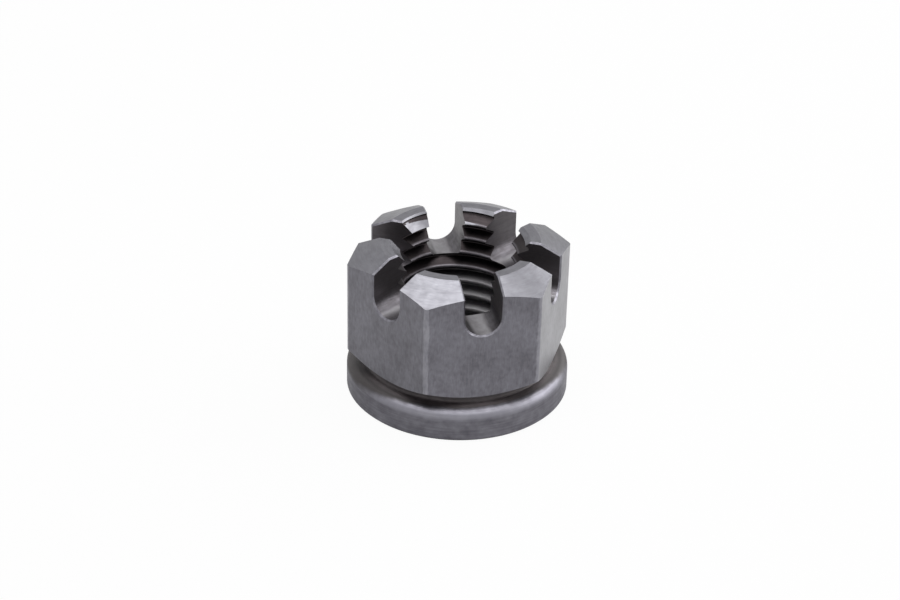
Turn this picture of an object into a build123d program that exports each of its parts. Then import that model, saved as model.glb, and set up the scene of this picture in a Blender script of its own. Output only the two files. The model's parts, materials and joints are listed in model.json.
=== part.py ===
"""Castle nut, M16 x 2: a hexagon with six round-bottomed split-pin slots on a round bearing collar.

The nut stands on its bearing face at z = 0, with the thread axis on Z and the slots open at the top.
Two flats face +Y and -Y, so one pair of slots runs along Y and two corners lie on X.
Every length is in millimetres and every angle in degrees.
"""

import os
from math import cos, hypot, radians, sqrt, tan

from build123d import *

# Thread: the bore is the thread's minor diameter, and both its mouths are countersunk
thread_diameter = 16.0
thread_pitch = 2.0
mouth_diameter = 16.9
mouth_angle = 90.0

# Hexagon and the chamfers turned on it
across_flats = 24.0
corner_rounding = 0.6
total_height = 19.8
crown_land = 1.2
crown_angle = 25.0
underside_inset = 0.15
underside_angle = 32.5

# Collar and the neck that joins it to the hexagon
collar_diameter = 27.2
rim_height = 3.7
shoulder_rise = 0.6
shoulder_rounding = 1.3
neck_length = 0.8
neck_inset = 0.5
neck_rounding = 0.4
seat_chamfer = 0.3

# Slots: milled straight across the crown, so each cut makes two opposite slots
slot_cuts = 3
slot_width = 4.5
slot_depth = 6.2
slot_edge_break = 0.2

# Worked out from the sizes above
minor_radius = thread_diameter / 2 - 5 / 16 * sqrt(3) * thread_pitch
mouth_radius = mouth_diameter / 2
mouth_depth = (mouth_radius - minor_radius) / tan(radians(mouth_angle / 2))
flat_radius = across_flats / 2
corner_radius = flat_radius / cos(radians(30))
crown_radius = mouth_radius + crown_land
crown_drop = (corner_radius - crown_radius) * tan(radians(crown_angle))
shoulder_height = rim_height + shoulder_rise
underside_height = shoulder_height + neck_length
underside_radius = flat_radius - underside_inset
underside_rise = (corner_radius - underside_radius) * tan(radians(underside_angle))
collar_radius = collar_diameter / 2
neck_radius = flat_radius - neck_inset
slot_floor = total_height - slot_depth
wall_offset = slot_width / 2
land_reach = sqrt(crown_radius**2 - wall_offset**2)
flat_drop = (hypot(flat_radius, wall_offset) - crown_radius) * tan(radians(crown_angle))
wall_slope = flat_drop / (flat_radius - land_reach)
far_drop = (corner_radius - land_reach) * wall_slope


# One pass of the milling cutter: a U section with a full-round floor, right across the crown
with BuildPart() as slot_cut:
    with BuildSketch(Plane.XZ) as slot_section:
        with Locations((0, slot_floor + wall_offset)):
            Circle(wall_offset)
            Rectangle(slot_width, slot_depth, align=(Align.CENTER, Align.MIN))
    extrude(amount=2 * corner_radius, both=True)

    # Its edges on both flats are broken at 45 degrees: the section opens out through each flat
    with BuildSketch(Plane.XZ.offset(flat_radius - slot_edge_break)) as flat_section:
        add(slot_section.sketch)
    extrude(amount=2 * slot_edge_break, taper=-45)
    mirror(about=Plane.XZ)

    # Its edges along the crown too: the space above the crown, as it is at the wall, closes in at 45 degrees
    with BuildSketch(Plane.YZ.offset(wall_offset)) as crown_space:
        with BuildLine():
            Polyline(
                (-corner_radius, total_height - far_drop),
                (-land_reach, total_height),
                (land_reach, total_height),
                (corner_radius, total_height - far_drop),
                (corner_radius, total_height + slot_depth),
                (-corner_radius, total_height + slot_depth),
                close=True,
            )
        make_face()
        offset(amount=slot_edge_break, kind=Kind.INTERSECTION)
    extrude(amount=2 * slot_edge_break, taper=45)
    mirror(about=Plane.YZ)

with BuildPart() as castle_nut:
    # Hexagonal bar, its corners slightly rounded
    with BuildSketch(Plane.XY.offset(underside_height)) as hexagon:
        RegularPolygon(flat_radius, 6, major_radius=False)
        fillet(hexagon.vertices(), corner_rounding)
    extrude(amount=total_height - underside_height)

    # Crown and underside chamfers, turned on the hexagon
    with BuildSketch(Plane.XZ) as chamfer_envelope:
        with BuildLine():
            Polyline(
                (0, underside_height),
                (underside_radius, underside_height),
                (corner_radius, underside_height + underside_rise),
                (corner_radius, total_height - crown_drop),
                (crown_radius, total_height),
                (0, total_height),
                close=True,
            )
        make_face()
    revolve(axis=Axis.Z, mode=Mode.INTERSECT)

    # Collar with a rounded shoulder, and the neck up to the hexagon
    with BuildSketch(Plane.XZ) as collar_section:
        with BuildLine():
            Polyline(
                (0, 0),
                (collar_radius - seat_chamfer, 0),
                (collar_radius, seat_chamfer),
                (collar_radius, rim_height),
                (neck_radius, shoulder_height),
                (neck_radius, underside_height),
                (0, underside_height),
                close=True,
            )
        make_face()
        shoulder = collar_section.vertices().sort_by_distance((collar_radius, rim_height))[0]
        fillet(shoulder, shoulder_rounding)
        neck_root = collar_section.vertices().sort_by_distance((neck_radius, shoulder_height))[0]
        fillet(neck_root, neck_rounding)
    revolve(axis=Axis.Z)

    # Bore with a countersink at each mouth
    with BuildSketch(Plane.XZ) as bore_section:
        with BuildLine():
            Polyline(
                (0, 0),
                (mouth_radius, 0),
                (minor_radius, mouth_depth),
                (minor_radius, total_height - mouth_depth),
                (mouth_radius, total_height),
                (0, total_height),
                close=True,
            )
        make_face()
    revolve(axis=Axis.Z, mode=Mode.SUBTRACT)

    # Slots, centred on the flats
    with PolarLocations(0, slot_cuts, start_angle=0, angular_range=180):
        add(slot_cut.part, mode=Mode.SUBTRACT)

castle_nut.part.label = "castle_nut"

os.makedirs("parts", exist_ok=True)
export_step(castle_nut.part, "parts/castle_nut.step")
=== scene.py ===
"""A castle nut of bare steel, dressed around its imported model.

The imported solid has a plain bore. This scene cuts the thread into it and gives each machined surface
its own steel, then adds a pale floor, soft studio light and a camera.
Every length is in metres unless its name or comment says otherwise, and the thread axis is Z.
"""

import json
import math
from collections import namedtuple

import bmesh
import bpy
import numpy as np
from bpy.props import FloatProperty, FloatVectorProperty, IntProperty, PointerProperty
from mathutils import Matrix, Vector


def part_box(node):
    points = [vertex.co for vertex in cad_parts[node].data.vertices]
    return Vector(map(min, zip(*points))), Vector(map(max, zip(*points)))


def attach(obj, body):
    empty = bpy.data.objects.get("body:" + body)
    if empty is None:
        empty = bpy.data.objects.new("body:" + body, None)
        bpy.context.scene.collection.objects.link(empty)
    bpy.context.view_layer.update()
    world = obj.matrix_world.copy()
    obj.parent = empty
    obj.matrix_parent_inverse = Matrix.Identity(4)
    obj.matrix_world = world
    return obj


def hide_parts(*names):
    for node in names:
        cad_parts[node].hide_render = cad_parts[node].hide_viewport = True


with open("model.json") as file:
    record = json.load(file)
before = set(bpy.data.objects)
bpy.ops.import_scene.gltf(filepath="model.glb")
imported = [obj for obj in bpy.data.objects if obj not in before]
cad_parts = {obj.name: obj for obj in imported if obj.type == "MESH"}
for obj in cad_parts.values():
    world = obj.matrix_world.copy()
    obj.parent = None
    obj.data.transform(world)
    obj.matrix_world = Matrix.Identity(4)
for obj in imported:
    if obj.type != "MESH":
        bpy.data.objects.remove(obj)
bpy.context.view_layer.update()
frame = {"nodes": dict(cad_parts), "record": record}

bl_info = {
    "name": "Castle nut",
    "version": (1, 0, 0),
    "blender": (4, 5, 0),
    "location": "View3D > Sidebar > Castle nut",
    "description": "Threads and finishes a castle nut, and sets up its studio",
    "category": "Object",
}

NODE = "castle_nut"
PIECE = "threaded_nut"
MM = 0.001
MOUNTS = {mount["name"]: mount for mount in frame["record"]["mounts"]}
NUT_LOW, NUT_HIGH = (Vector(corner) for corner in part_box(NODE))

# The bore's plain wall starts above the lower countersink, which is as wide as it is deep
BORE_RADIUS = MOUNTS["thread"]["dims"]["r_mm"] * MM
MOUTH_DEPTH = MOUNTS["thread"]["pos_m"][2]
MOUTH_RADIUS = BORE_RADIUS + MOUTH_DEPTH

# The pin's mount lies at the centre of the slots' round floors
PIN_HEIGHT = MOUNTS["split_pin_slots"]["pos_m"][2]

# The middle of the nut, which the lamps face
MIDDLE = Vector((0, 0, (NUT_LOW.z + NUT_HIGH.z) / 2))

# A thin film of machine oil: how far it blurs a reflection, and how strongly it bends light
OIL_ROUGHNESS = 0.28
OIL_IOR = 1.47

# How strongly the white surroundings light the nut and the board, where 1 is white
FILL_LIGHT = 0.15

# Half the floor's width, and the limits between which the camera draws
FLOOR_REACH = 3.0
CLIP_NEAR = 0.01
CLIP_FAR = 20.0


def srgb(code):
    """A colour written as sRGB hex, turned to the linear values that a shader takes."""
    values = [int(code[i : i + 2], 16) / 255 for i in (1, 3, 5)]
    return tuple(v / 12.92 if v <= 0.04045 else ((v + 0.055) / 1.055) ** 2.4 for v in values)


def length_setting(name, description, millimetres):
    """A length that a user may change, given in millimetres and kept in metres."""
    return FloatProperty(
        name=name, description=description, default=millimetres * MM, min=0,
        unit="LENGTH", subtype="DISTANCE", precision=5,
    )


def angle_setting(name, description, degrees):
    """An angle that a user may change, given in degrees and kept in radians."""
    return FloatProperty(
        name=name, description=description, default=math.radians(degrees),
        unit="ROTATION", subtype="ANGLE",
    )


def colour_setting(name, description, code):
    """A colour that a user may change, given as sRGB hex and kept linear."""
    return FloatVectorProperty(
        name=name, description=description, default=srgb(code), size=3, min=0, max=1, subtype="COLOR",
    )


def shift_setting(name, description, share):
    """How far the picture is moved without turning the camera, as a share of its width."""
    return FloatProperty(name=name, description=description, default=share, precision=4)


class CastleNutSettings(bpy.types.PropertyGroup):
    """Sizes and colours that a user may change before the operators run."""

    thread_root: length_setting("Thread root", "Diameter at the roots of a deeply cut thread", 16.5)
    thread_pitch: length_setting("Thread pitch", "Distance between two turns of the thread", 2)
    thread_start: length_setting("Thread start", "Height of a groove's middle on the +X side", 0.88)
    thread_steps: IntProperty(
        name="Thread steps", description="Sections of the groove in one turn", default=96, min=12,
    )
    across_flats: length_setting("Across flats", "Distance between two opposite flats", 24)
    slot_width: length_setting("Slot width", "Distance between a slot's two walls", 4.5)
    hexagon_base: length_setting("Hexagon base", "Height of the hexagon's underside", 5.1)

    # The flats' light colour also paints the highlight round the collar's shoulder
    flat_light_and_shoulder_highlight: colour_setting("Flats, light", "Light grain of the drawn flats", "#76757d")
    flat_dark: colour_setting("Flats, dark", "Dark grain of the drawn flats", "#5a585f")
    crown_light: colour_setting("Crown, light", "Light rings of the turned crown", "#7c7c81")
    crown_dark: colour_setting("Crown, dark", "Dark rings of the turned crown", "#5e5d62")
    slot_light: colour_setting("Slots, floor", "Clean steel along a slot's floor", "#8c8b8e")
    # Its colour also paints shade on the slot walls
    slot_dark_and_wall_shade: colour_setting("Slots, walls", "Oily steel on a slot's walls", "#646164")
    # The light thread colour is also the lighter part of the painted shade where a slot's floor turns up
    thread_light_and_floor_shade: colour_setting("Thread, crests", "Rubbed crests of the thread", "#68666b")
    # The dark thread colour is also the darker part of the painted shade on the slot walls
    thread_dark_and_wall_shade: colour_setting("Thread, grooves", "Oily steel of the thread", "#4c474a")
    # Painted shade in the thread's grooves
    groove_shade_light: colour_setting("Thread oil, light", "Thin black oil in the grooves", "#322d2e")
    groove_shade_dark: colour_setting("Thread oil, dark", "Thick black oil in the grooves", "#211d1f")
    # A paler, less metallic colour low in the bore
    low_bore_light: colour_setting("Thread dust, light", "Thick pale dust low in the bore", "#8c8b8e")
    low_bore_dark: colour_setting("Thread dust, dark", "Thin pale dust low in the bore", "#646164")
    collar_light: colour_setting("Collar", "Light rings of the rim and the shoulder", "#88878e")
    # Residue round the neck, deepened with painted shade under the hexagon; the dark one is also painted
    # shade where a slot's floor turns up
    residue_and_shade_light: colour_setting("Residue, light", "Thin residue round the neck", "#5c5456")
    residue_and_shade_dark: colour_setting("Residue, dark", "Thick residue round the neck and in the slots", "#322d2e")
    edge_light: colour_setting("Edges", "Steel rubbed bright along the corners", "#8f8e95")

    camera_azimuth: angle_setting("Camera azimuth", "Turn about Z from the -Y side", -14.4)
    camera_elevation: angle_setting("Camera elevation", "Height above the horizon", 30.68)
    camera_roll: angle_setting("Camera roll", "Turn about the line of sight", 1.46)
    camera_distance: length_setting("Camera distance", "From the camera to its target", 272.4)
    camera_target: length_setting("Camera target", "Height on the thread axis that it faces", 10)
    camera_shift_x: shift_setting("Shift across", "Share of the picture's width, to the right", -0.0094)
    camera_shift_y: shift_setting("Shift up", "Share of the picture's width, upwards", 0.0121)
    camera_lens: FloatProperty(
        name="Lens", description="Focal length", default=89.46, min=10, unit="CAMERA",
    )


# ---------------------------------------------------------------- nodes


# A surface point in millimetres, its distance from the thread axis, its height, and the unit vector
# that points from the axis to it
Place = namedtuple("Place", "point radius height outward")


def add_node(tree, kind, inputs=(), **settings):
    """Adds a node of the kind, sets its settings, and sets or links its inputs by name or number."""
    node = tree.nodes.new(kind)
    for name, value in settings.items():
        setattr(node, name, value)
    for key, value in dict(inputs).items():
        socket = node.inputs[key]
        if isinstance(value, bpy.types.NodeSocket):
            tree.links.new(value, socket)
        elif socket.type == "RGBA":
            socket.default_value = (*value, 1.0)
        else:
            socket.default_value = value
    return node


def surface_place(tree):
    """Where the surface is, as a Place whose parts are sockets."""
    coordinates = add_node(tree, "ShaderNodeTexCoord")
    point = add_node(
        tree, "ShaderNodeVectorMath",
        {0: coordinates.outputs["Object"], 1: (1 / MM, 1 / MM, 1 / MM)}, operation="MULTIPLY",
    ).outputs[0]
    level = add_node(tree, "ShaderNodeVectorMath", {0: point, 1: (1, 1, 0)}, operation="MULTIPLY").outputs[0]
    radius = add_node(tree, "ShaderNodeVectorMath", {0: level}, operation="LENGTH").outputs["Value"]
    outward = add_node(tree, "ShaderNodeVectorMath", {0: level}, operation="NORMALIZE").outputs[0]
    height = add_node(tree, "ShaderNodeSeparateXYZ", {0: point}).outputs["Z"]
    return Place(point, radius, height, outward)


def grain(tree, place, size, detail=3.0):
    """Noise whose spots have the given size in millimetres along X, Y and Z."""
    scaled = add_node(
        tree, "ShaderNodeVectorMath",
        {0: place.point, 1: tuple(1 / length for length in size)}, operation="MULTIPLY",
    )
    return add_node(
        tree, "ShaderNodeTexNoise", {"Vector": scaled.outputs[0], "Scale": 1.0, "Detail": detail},
    ).outputs["Fac"]


def turned(tree, place, across, along, waver=0.0):
    """Noise drawn out along circles about the thread axis, as a lathe tool leaves it.

    It is read at (radius, height) over the mark's width and at the outward vector over its length in
    radians, so it closes on itself with no seam.
    """
    sides = add_node(tree, "ShaderNodeSeparateXYZ", {0: place.outward})
    scaled = [
        add_node(tree, "ShaderNodeMath", {0: value, 1: scale}, operation="DIVIDE").outputs[0]
        for value, scale in (
            (place.radius, across), (place.height, across),
            (sides.outputs["X"], along), (sides.outputs["Y"], along),
        )
    ]
    spot = add_node(tree, "ShaderNodeCombineXYZ", dict(enumerate(scaled[:3])))
    return add_node(
        tree, "ShaderNodeTexNoise",
        {"Vector": spot.outputs[0], "W": scaled[3], "Scale": 1.0, "Detail": 3.0, "Distortion": waver},
        noise_dimensions="4D",
    ).outputs["Fac"]


def weigh(tree, start, *parts):
    """The start, plus each noise's departure from a half times its weight."""
    total = start
    for noise, weight in parts:
        share = add_node(
            tree, "ShaderNodeMath", {0: noise, 1: weight, 2: -weight / 2}, operation="MULTIPLY_ADD",
        )
        total = add_node(tree, "ShaderNodeMath", {0: share.outputs[0], 1: total}, operation="ADD").outputs[0]
    return total


def steel(name, film=0.0):
    """A new metal material, and its tree and shader. A film of oil on it shines at a glancing angle."""
    material = bpy.data.materials.new(name)
    material.use_nodes = True
    shader = material.node_tree.nodes["Principled BSDF"]
    shader.inputs["Metallic"].default_value = 1.0
    shader.inputs["Coat Weight"].default_value = film
    shader.inputs["Coat Roughness"].default_value = OIL_ROUGHNESS
    shader.inputs["Coat IOR"].default_value = OIL_IOR
    return material, material.node_tree, shader


def dress(tree, shader, tone, colours, rough, smooth, depth_mm, layers=()):
    """Lets the tone run the colour, the roughness and the bump, then lays the layers over the colour.

    The tone goes from the first colour and rough at 0 to the second colour and smooth at 1, and bump raises
    it by the depth. A layer is (value, start, end, colours, metal). It sets in as its value goes from start
    to end, with its own two colours, and with metal below 1 it is partly not metal. Where no layer's metal
    is below 1, the shader's own Metallic stays.
    """
    colour = add_node(
        tree, "ShaderNodeMix", {0: tone, 6: colours[0], 7: colours[1]}, data_type="RGBA",
    ).outputs[2]
    metallic = 1.0
    for value, start, end, over, metal in layers:
        mask = add_node(
            tree, "ShaderNodeMapRange", {"Value": value, "From Min": start, "From Max": end},
            interpolation_type="SMOOTHSTEP",
        ).outputs[0]
        toned = add_node(tree, "ShaderNodeMix", {0: tone, 6: over[0], 7: over[1]}, data_type="RGBA")
        colour = add_node(
            tree, "ShaderNodeMix", {0: mask, 6: colour, 7: toned.outputs[2]}, data_type="RGBA",
        ).outputs[2]
        if metal != metallic:
            metallic = add_node(tree, "ShaderNodeMix", {0: mask, 2: metallic, 3: metal}).outputs[0]
    tree.links.new(colour, shader.inputs["Base Color"])
    if isinstance(metallic, bpy.types.NodeSocket):
        tree.links.new(metallic, shader.inputs["Metallic"])
    roughness = add_node(tree, "ShaderNodeMapRange", {"Value": tone, "To Min": rough, "To Max": smooth})
    tree.links.new(roughness.outputs[0], shader.inputs["Roughness"])
    bump = add_node(tree, "ShaderNodeBump", {"Strength": 0.5, "Distance": depth_mm * MM, "Height": tone})
    tree.links.new(bump.outputs[0], shader.inputs["Normal"])


# ---------------------------------------------------------------- steels


def slot_floor(s):
    """Height of the lowest line of the slots' round floors."""
    return PIN_HEIGHT - s.slot_width / 2


def drawn_flats(s):
    """Cold-drawn hexagon bar: a fine grain along the bar, uneven patches, corners rubbed bright, and a
    film of oil that lights up the flats seen from the side."""
    material, tree, shader = steel("steel_drawn_flats", film=0.8)
    place = surface_place(tree)
    # Real drawing lines are about 0.05 mm wide, drawn three times as coarse so that they show
    lines = grain(tree, place, (0.16, 0.16, 0.9))
    mottle = grain(tree, place, (0.5, 0.5, 0.7))
    patches = grain(tree, place, (2.7, 2.7, 3.6), detail=2.0)
    tone = weigh(tree, 0.5, (lines, 1.1), (mottle, 1.4), (patches, 1.4))
    # In mm from the axis: the rubbing starts just beside the rounded corner and is full on it
    reach = weigh(tree, place.radius, (lines, 0.12), (patches, 0.1))
    corner = s.across_flats / math.sqrt(3) / MM
    rubbed_from, rubbed_full = corner - 0.22, corner - 0.13
    dress(
        tree, shader, tone, (s.flat_dark, s.flat_light_and_shoulder_highlight), rough=0.42, smooth=0.34, depth_mm=0.002,
        layers=[(reach, rubbed_from, rubbed_full, (s.flat_light_and_shoulder_highlight, s.edge_light), 1.0)],
    )
    return material


def turned_crown(s):
    """Steel turned on a lathe: fine rings about the axis, broken up by handling."""
    material, tree, shader = steel("steel_turned_crown")
    place = surface_place(tree)
    # Real tool marks are about 0.1 mm apart, drawn three times as coarse so that they show
    rings = turned(tree, place, across=0.3, along=0.12, waver=0.8)
    patches = grain(tree, place, (1.2, 1.2, 1.2))
    tone = weigh(tree, 0.5, (rings, 1.0), (patches, 0.9))
    dress(tree, shader, tone, (s.crown_dark, s.crown_light), rough=0.42, smooth=0.30, depth_mm=0.006)
    return material


def milled_slots(s):
    """Steel cut by a round-nosed mill: cutter lines along the slot, a lighter strip along the floor's lowest
    line, painted shade where the floor turns up, and walls darkened with painted shade."""
    material, tree, shader = steel("steel_milled_slots")
    place = surface_place(tree)
    # Cutter lines are about 0.17 mm apart and run 2 mm before they fade
    lines = grain(tree, place, (2.0, 2.0, 0.17))
    patches = grain(tree, place, (0.9, 0.9, 0.9))
    tone = weigh(tree, 0.5, (lines, 0.8), (patches, 0.8))
    # Heights in mm at which the painted shade on the floor's sides and then the darker painted shade on the
    # walls set in
    level = weigh(tree, place.height, (patches, 0.3))
    floor = slot_floor(s) / MM
    floor_shade_from, floor_shade_full = floor + 0.08, floor + 0.36
    wall_from, wall_full = floor + 0.9, floor + 2.0
    dress(
        tree, shader, tone, (s.slot_dark_and_wall_shade, s.slot_light), rough=0.44, smooth=0.28, depth_mm=0.006,
        layers=[
            # Painted shade where the floor turns up, which leaves a lighter strip along its lowest line
            (level, floor_shade_from, floor_shade_full, (s.residue_and_shade_dark, s.thread_light_and_floor_shade), 0.95),
            # Painted shade on the walls, darker still
            (level, wall_from, wall_full, (s.thread_dark_and_wall_shade, s.slot_dark_and_wall_shade), 0.75),
        ],
    )
    return material


def tapped_thread(s):
    """Steel cut by a tap: painted shade in the grooves, the crests in the steel's own grain, and a paler,
    less metallic colour low in the bore."""
    material, tree, shader = steel("steel_tapped_thread")
    place = surface_place(tree)
    # A tap leaves marks about 0.12 mm wide along the thread
    marks = turned(tree, place, across=0.12, along=0.3)
    patches = grain(tree, place, (1.0, 1.0, 1.0))
    tone = weigh(tree, 0.5, (marks, 0.9), (patches, 1.0))
    # In mm: the painted shade sets in just behind the crests, and the paler colour below the slots' floors
    crest = BORE_RADIUS / MM
    groove_shade_from, groove_shade_full = crest + 0.04, crest + 0.3
    floor = slot_floor(s) / MM
    low_bore_from, low_bore_full = floor - 1.6, floor - 4.1
    dress(
        tree, shader, tone, (s.thread_dark_and_wall_shade, s.thread_light_and_floor_shade), rough=0.46, smooth=0.28, depth_mm=0.004,
        layers=[
            # Painted shade in the grooves
            (place.radius, groove_shade_from, groove_shade_full, (s.groove_shade_dark, s.groove_shade_light), 0.9),
            # Paler and less metallic low in the bore
            (place.height, low_bore_from, low_bore_full, (s.low_bore_dark, s.low_bore_light), 0.4),
        ],
    )
    return material


def turned_collar(s):
    """Turned steel, dull from handling, with a painted highlight round the shoulder, and dark brownish
    residue round the neck deepened with painted shade under the hexagon."""
    material, tree, shader = steel("steel_turned_collar")
    place = surface_place(tree)
    # A lathe's feed marks are about 0.2 mm apart
    rings = turned(tree, place, across=0.2, along=0.3)
    patches = grain(tree, place, (1.3, 1.3, 1.3))
    tone = weigh(tree, 0.5, (rings, 0.9), (patches, 1.1))
    # Heights in mm: the painted highlight round the shoulder sets in and ends, and the rim is free of the
    # residue and painted shade up to the last two
    highlight_from, highlight_full, highlight_end, top = 2.6, 3.3, 3.66, 3.86
    unshaded_rim, shaded_rim = 2.6, 3.2
    # The residue and painted shade reach out from the neck, and 1.3 mm further on the sides that face along
    # X to darken the shoulder's sides: that much times the outward vector's X to the fourth power
    rim = NUT_HIGH.y / MM
    side = add_node(tree, "ShaderNodeSeparateXYZ", {0: place.outward}).outputs["X"]
    wider = add_node(tree, "ShaderNodeMath", {0: side, 1: 4.0}, operation="POWER").outputs[0]
    ragged = weigh(tree, place.radius, (patches, 0.3))
    reach = add_node(
        tree, "ShaderNodeMath", {0: wider, 1: -1.3, 2: ragged}, operation="MULTIPLY_ADD",
    ).outputs[0]
    thick_from, thick_full = rim - 0.75, rim - 1.4
    thin_from, thin_full = rim - 1.0, rim - 1.5
    dress(
        tree, shader, tone, (s.flat_dark, s.collar_light), rough=0.54, smooth=0.42, depth_mm=0.005,
        layers=[
            # Painted highlight on the lower part of the shoulder, which moves its shine down and spreads it
            (place.height, highlight_from, highlight_full, (s.flat_light_and_shoulder_highlight, s.collar_light), 1.0),
            (place.height, highlight_end, top, (s.flat_dark, s.collar_light), 1.0),
            # Residue with painted shade round the neck, thick and then thin
            (reach, thick_from, thick_full, (s.residue_and_shade_dark, s.residue_and_shade_dark), 0.15),
            (ragged, thin_from, thin_full, (s.residue_and_shade_dark, s.residue_and_shade_light), 0.1),
            # The rim's lower part is kept clear of the residue and painted shade
            (place.height, shaded_rim, unshaded_rim, (s.flat_dark, s.collar_light), 1.0),
        ],
    )
    return material


def broken_edges(s):
    """Edges broken at 45 degrees: narrow bevels, rubbed light in some spots and dark in others."""
    material, tree, shader = steel("steel_broken_edges")
    place = surface_place(tree)
    tone = weigh(tree, 0.5, (grain(tree, place, (0.5, 0.5, 0.5)), 1.6))
    dress(tree, shader, tone, (s.flat_dark, s.edge_light), rough=0.44, smooth=0.34, depth_mm=0.004)
    return material


STEELS = (turned_crown, drawn_flats, milled_slots, tapped_thread, turned_collar, broken_edges)
CROWN, FLATS, SLOTS, THREAD, COLLAR, EDGES = range(len(STEELS))


# ---------------------------------------------------------------- meshes


def grid_mesh(name, points):
    """A closed tube through a grid of points: rows are sections in order, columns go round each."""
    rows, columns = points.shape[:2]
    index = np.arange(rows * columns).reshape(rows, columns)
    a, b = index[:-1], index[1:]
    quads = np.stack([a, b, np.roll(b, -1, 1), np.roll(a, -1, 1)], -1).reshape(-1, 4)
    mesh = bpy.data.meshes.new(name)
    ends = [index[0].tolist(), index[-1, ::-1].tolist()]
    mesh.from_pydata(points.reshape(-1, 3).tolist(), [], quads.tolist() + ends)
    mesh.validate()
    return mesh


def groove_section(pitch, root_radius, crest_radius):
    """Section of the groove as (radius, height) points, for a 60 degree thread.

    The root is an arc that touches both flanks and the major diameter, so its radius is an eighth of
    the sharp thread's depth. The flanks slope 30 degrees from the radial direction down to the crest,
    whose corner is broken by a small facet at 60 degrees, and the section then goes on into the open
    bore.
    """
    root = math.sqrt(3) / 16 * pitch
    turn = np.linspace(-math.pi / 3, math.pi / 3, 9)
    arc = np.stack([root_radius - root + root * np.cos(turn), root * np.sin(turn)], -1)

    def half_width(radius):
        return pitch / 16 + (root_radius - radius) * math.tan(math.pi / 6)

    # The facet takes 3% of the pitch off the crest and runs 1% past it, so that it cuts clean through
    taken, past, into_bore = 0.03 * pitch, 0.01 * pitch, 0.16 * pitch
    broken = crest_radius + taken
    facet = (crest_radius - past, half_width(broken) + (taken + past) * math.tan(math.pi / 3))
    inner = (crest_radius - into_bore, facet[1] + past)
    upper = np.array([(broken, half_width(broken)), facet, inner])
    lower = upper[::-1] * (1, -1)
    return np.concatenate([lower, arc, upper])


def helical_groove(pitch, root_radius, crest_radius, low, high, start, steps):
    """Carries the groove's section up a right-hand helix: height is start plus pitch times turns."""
    first = math.floor((low - start) / pitch) - 1
    last = math.ceil((high - start) / pitch) + 1
    angle = 2 * math.pi * np.linspace(first, last, (last - first) * steps + 1)[:, None]
    radius, height = groove_section(pitch, root_radius, crest_radius).T
    climb = start + pitch * angle / (2 * math.pi)
    return np.stack([radius * np.cos(angle), radius * np.sin(angle), height + climb], -1)


def merged_copy(node, name):
    """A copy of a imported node's mesh with its loose triangles joined into one closed shell."""
    copy = bmesh.new()
    copy.from_mesh(node.data)
    bmesh.ops.remove_doubles(copy, verts=copy.verts, dist=0.001 * MM)
    mesh = bpy.data.meshes.new(name)
    copy.to_mesh(mesh)
    copy.free()
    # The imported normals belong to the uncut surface
    mesh.attributes.remove(mesh.attributes["custom_normal"])
    return mesh


def open_edges(mesh):
    """How many edges don't have exactly two faces."""
    edges = np.empty(len(mesh.loops), np.int32)
    mesh.loops.foreach_get("edge_index", edges)
    return int(np.count_nonzero(np.bincount(edges, minlength=len(mesh.edges)) != 2))


def cut(mesh, cutter_mesh, name):
    """The mesh less the cutter, as a new mesh."""
    body = bpy.data.objects.new(name + "_body", mesh)
    cutter = bpy.data.objects.new(name + "_cutter", cutter_mesh)
    for item in (body, cutter):
        bpy.context.scene.collection.objects.link(item)
    boolean = body.modifiers.new("cut", "BOOLEAN")
    boolean.operation = "DIFFERENCE"
    boolean.solver = "EXACT"
    boolean.object = cutter
    evaluated = body.evaluated_get(bpy.context.evaluated_depsgraph_get())
    result = bpy.data.meshes.new_from_object(evaluated)
    result.name = name
    for item in (body, cutter):
        bpy.data.objects.remove(item)
    return result


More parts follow.
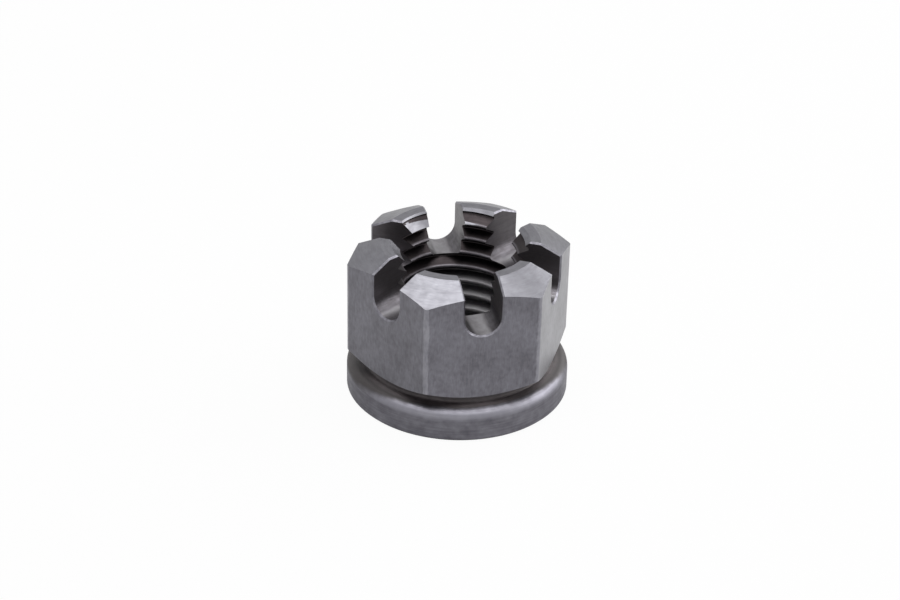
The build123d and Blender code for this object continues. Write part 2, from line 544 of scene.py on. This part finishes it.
def which_steel(mesh, s):
    """Each face's steel, told from the face's centre and normal in whole arrays.

    Flats are upright, face one of six directions or lie between two, and are no nearer the axis than
    half the width across flats. Slots run along the same six directions: a slot's faces are square to
    its direction and no further from its middle than half its width. Inside the mouth's radius, what
    is neither a slot nor a countersink is thread. Below the hexagon is the collar. High up, what is
    steeper than the crown's chamfer and still unnamed is an edge break. All else is turned like the
    crown: its land and chamfer, both countersinks and the chamfer under the hexagon.
    """
    count = len(mesh.polygons)
    centre, normal = np.empty(count * 3), np.empty(count * 3)
    mesh.polygons.foreach_get("center", centre)
    mesh.polygons.foreach_get("normal", normal)
    centre, normal = centre.reshape(-1, 3), normal.reshape(-1, 3)
    radius, height = np.hypot(centre[:, 0], centre[:, 1]), centre[:, 2]
    tilt = np.abs(normal[:, 2])

    # How exactly a face has to lie where it should, and how far the slots' edge breaks reach below
    near = 0.01 * MM
    break_reach = 0.5 * MM
    floor = slot_floor(s)
    angles = math.pi / 6 + math.pi / 3 * np.arange(6)
    ways = np.stack([np.cos(angles), np.sin(angles)], -1)
    facing = normal[:, :2] @ ways.T
    aside = centre[:, :2] @ np.stack([-ways[:, 1], ways[:, 0]])

    # Tilt is 0 on an upright face, 0.71 on a countersink and 0.91 on the crown's chamfer
    upright, steeper_than_chamfer = tilt < 0.1, tilt < 0.85
    outside = (height > s.hexagon_base) & (radius > s.across_flats / 2 - near)
    flat = upright & outside & (facing.max(1) > 0.8)
    in_slot = (np.abs(facing) < 0.05) & (np.abs(aside) < s.slot_width / 2 + near)
    slot = in_slot.any(1) & (height > floor - near)
    from_end = np.minimum(height - NUT_LOW.z, NUT_HIGH.z - height)
    mouth = np.abs(radius - (MOUTH_RADIUS - from_end)) < 2 * near
    thread = (radius < MOUTH_RADIUS - near) & ~slot & ~(mouth & (tilt > 0.5))
    collar = (height < s.hexagon_base + near) & (radius > MOUTH_RADIUS)
    edge = (height > floor - break_reach) & steeper_than_chamfer & ~flat & ~slot & ~thread & ~mouth

    chosen = np.full(count, CROWN, np.int32)
    for kind, faces in ((THREAD, thread), (COLLAR, collar), (EDGES, edge), (SLOTS, slot), (FLATS, flat)):
        chosen[faces] = kind
    return chosen


class CASTLENUT_OT_thread(bpy.types.Operator):
    """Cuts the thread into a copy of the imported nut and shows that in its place"""

    bl_idname = "castle_nut.thread"
    bl_label = "Cut thread"

    def execute(self, context):
        s = context.scene.castle_nut
        groove = grid_mesh("groove", helical_groove(
            s.thread_pitch, s.thread_root / 2, BORE_RADIUS,
            NUT_LOW.z, NUT_HIGH.z, s.thread_start, s.thread_steps,
        ))
        shell = merged_copy(frame["nodes"][NODE], "shell")
        before = open_edges(shell)
        mesh = cut(shell, groove, PIECE)
        after = open_edges(mesh)
        if before or after:
            raise RuntimeError(f"open edges: {before} before the thread, {after} after")
        # Facets of one rounded surface meet at 17 degrees or less, and its true creases at 25 or more
        mesh.shade_smooth()
        mesh.set_sharp_from_angle(angle=math.radians(21))
        nut = bpy.data.objects.new(PIECE, mesh)
        context.scene.collection.objects.link(nut)
        weighted = nut.modifiers.new("weighted_normals", "WEIGHTED_NORMAL")
        weighted.keep_sharp = True
        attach(nut, "root")
        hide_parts(NODE)
        return {"FINISHED"}


class CASTLENUT_OT_finish(bpy.types.Operator):
    """Gives each machined surface of the threaded nut its own steel"""

    bl_idname = "castle_nut.finish"
    bl_label = "Finish surfaces"

    def execute(self, context):
        s = context.scene.castle_nut
        mesh = bpy.data.objects[PIECE].data
        mesh.materials.clear()
        for finish in STEELS:
            mesh.materials.append(finish(s))
        mesh.polygons.foreach_set("material_index", which_steel(mesh, s))
        mesh.update()
        return {"FINISHED"}


# ---------------------------------------------------------------- studio


def softbox(name, direction, distance, width, height, radiance):
    """A rectangular light that faces the nut's middle, of the radiance that it shows in a mirror."""
    data = bpy.data.lights.new(name, "AREA")
    data.shape = "RECTANGLE"
    data.size, data.size_y = width, height
    data.energy = radiance * math.pi * width * height
    light = bpy.data.objects.new(name, data)
    bpy.context.scene.collection.objects.link(light)
    towards = Vector(direction).normalized()
    light.location = MIDDLE + towards * distance
    light.rotation_mode = "QUATERNION"
    light.rotation_quaternion = towards.to_track_quat("Z", "Y")


def ray_share(tree, camera, glossy, transmission):
    """How much of the plain white background each kind of ray gets, and none for diffuse light."""
    path = add_node(tree, "ShaderNodeLightPath")
    total = 0.0
    for kind, share in (("Camera", camera), ("Glossy", glossy), ("Transmission", transmission)):
        total = add_node(
            tree, "ShaderNodeMath", {0: path.outputs[f"Is {kind} Ray"], 1: share, 2: total},
            operation="MULTIPLY_ADD",
        ).outputs[0]
    return total


def white_world():
    """White where it is seen or mirrored, and a weaker fill light elsewhere."""
    world = bpy.data.worlds.new("studio")
    world.use_nodes = True
    tree = world.node_tree
    background = tree.nodes["Background"]
    background.inputs["Color"].default_value = (1, 1, 1, 1)
    white = ray_share(tree, camera=1.0, glossy=1.0, transmission=1.0)
    level = add_node(
        tree, "ShaderNodeMapRange", {"Value": white, "To Min": FILL_LIGHT, "To Max": 1.0},
    )
    tree.links.new(level.outputs[0], background.inputs["Strength"])
    return world


def white_board():
    """Matt white board, shown mostly as plain white so that only a faint shadow stays on it."""
    material = bpy.data.materials.new("board_matt_white")
    material.use_nodes = True
    tree = material.node_tree
    shader = tree.nodes["Principled BSDF"]
    shader.inputs["Base Color"].default_value = (*srgb("#d2d2d2"), 1.0)
    shader.inputs["Roughness"].default_value = 0.9
    white = add_node(tree, "ShaderNodeEmission", {"Color": (1, 1, 1), "Strength": 1.0})
    # The steel mirrors the board mostly as it is lit, so the nut's shadow on it is mirrored as well
    shown = ray_share(tree, camera=0.95, glossy=0.1, transmission=0.95)
    mixed = add_node(
        tree, "ShaderNodeMixShader", {0: shown, 1: shader.outputs[0], 2: white.outputs[0]},
    )
    tree.links.new(mixed.outputs[0], tree.nodes["Material Output"].inputs["Surface"])
    return material


class CASTLENUT_OT_stage(bpy.types.Operator):
    """Adds the white board that the nut stands on, the white surroundings and two softboxes"""

    bl_idname = "castle_nut.stage"
    bl_label = "Add stage"

    def execute(self, context):
        context.scene.view_settings.view_transform = "Standard"
        context.scene.world = white_world()
        mesh = bpy.data.meshes.new("floor")
        corners = [(x * FLOOR_REACH, y * FLOOR_REACH, 0) for x, y in ((-1, -1), (1, -1), (1, 1), (-1, 1))]
        mesh.from_pydata(corners, [], [(0, 1, 2, 3)])
        mesh.materials.append(white_board())
        floor = bpy.data.objects.new("floor", mesh)
        context.scene.collection.objects.link(floor)
        # The overhead box lights the crown and the shoulder, and the right one the narrow flat beside it
        softbox("overhead", (-0.04, 0.02, 1.0), distance=0.6, width=0.56, height=0.64, radiance=3.6)
        softbox("right", (1.0, 0.15, 0.55), distance=0.8, width=0.9, height=0.5, radiance=3.6)
        return {"FINISHED"}


class CASTLENUT_OT_camera(bpy.types.Operator):
    """Makes the camera and looks through it"""

    bl_idname = "castle_nut.camera"
    bl_label = "Add camera"

    def execute(self, context):
        s = context.scene.castle_nut
        a, e = s.camera_azimuth, s.camera_elevation
        back = Vector((math.sin(a) * math.cos(e), -math.cos(a) * math.cos(e), math.sin(e)))
        data = bpy.data.cameras.new("camera")
        data.lens = s.camera_lens
        data.shift_x = s.camera_shift_x
        data.shift_y = s.camera_shift_y
        data.clip_start = CLIP_NEAR
        data.clip_end = CLIP_FAR
        camera = bpy.data.objects.new("camera", data)
        context.scene.collection.objects.link(camera)
        camera.rotation_mode = "QUATERNION"
        camera.location = Vector((0, 0, s.camera_target)) + back * s.camera_distance
        roll = Matrix.Rotation(s.camera_roll, 4, "Z").to_quaternion()
        camera.rotation_quaternion = (-back).to_track_quat("-Z", "Y") @ roll
        context.scene.camera = camera
        return {"FINISHED"}


class CASTLENUT_PT_panel(bpy.types.Panel):
    """Lists the castle nut's operators and settings"""

    bl_idname = "CASTLENUT_PT_panel"
    bl_label = "Castle nut"
    bl_space_type = "VIEW_3D"
    bl_region_type = "UI"
    bl_category = "Castle nut"

    def draw(self, context):
        for operator in OPERATORS:
            self.layout.operator(operator.bl_idname)
        for name in CastleNutSettings.__annotations__:
            self.layout.prop(context.scene.castle_nut, name)


OPERATORS = (CASTLENUT_OT_thread, CASTLENUT_OT_finish, CASTLENUT_OT_stage, CASTLENUT_OT_camera)
CLASSES = (CastleNutSettings, *OPERATORS, CASTLENUT_PT_panel)


def register():
    for cls in CLASSES:
        bpy.utils.register_class(cls)
    bpy.types.Scene.castle_nut = PointerProperty(type=CastleNutSettings)


def unregister():
    del bpy.types.Scene.castle_nut
    for cls in reversed(CLASSES):
        bpy.utils.unregister_class(cls)


def main():
    register()
    bpy.ops.castle_nut.thread()
    bpy.ops.castle_nut.finish()
    bpy.ops.castle_nut.stage()
    bpy.ops.castle_nut.camera()


if __name__ == "__main__":
    main()
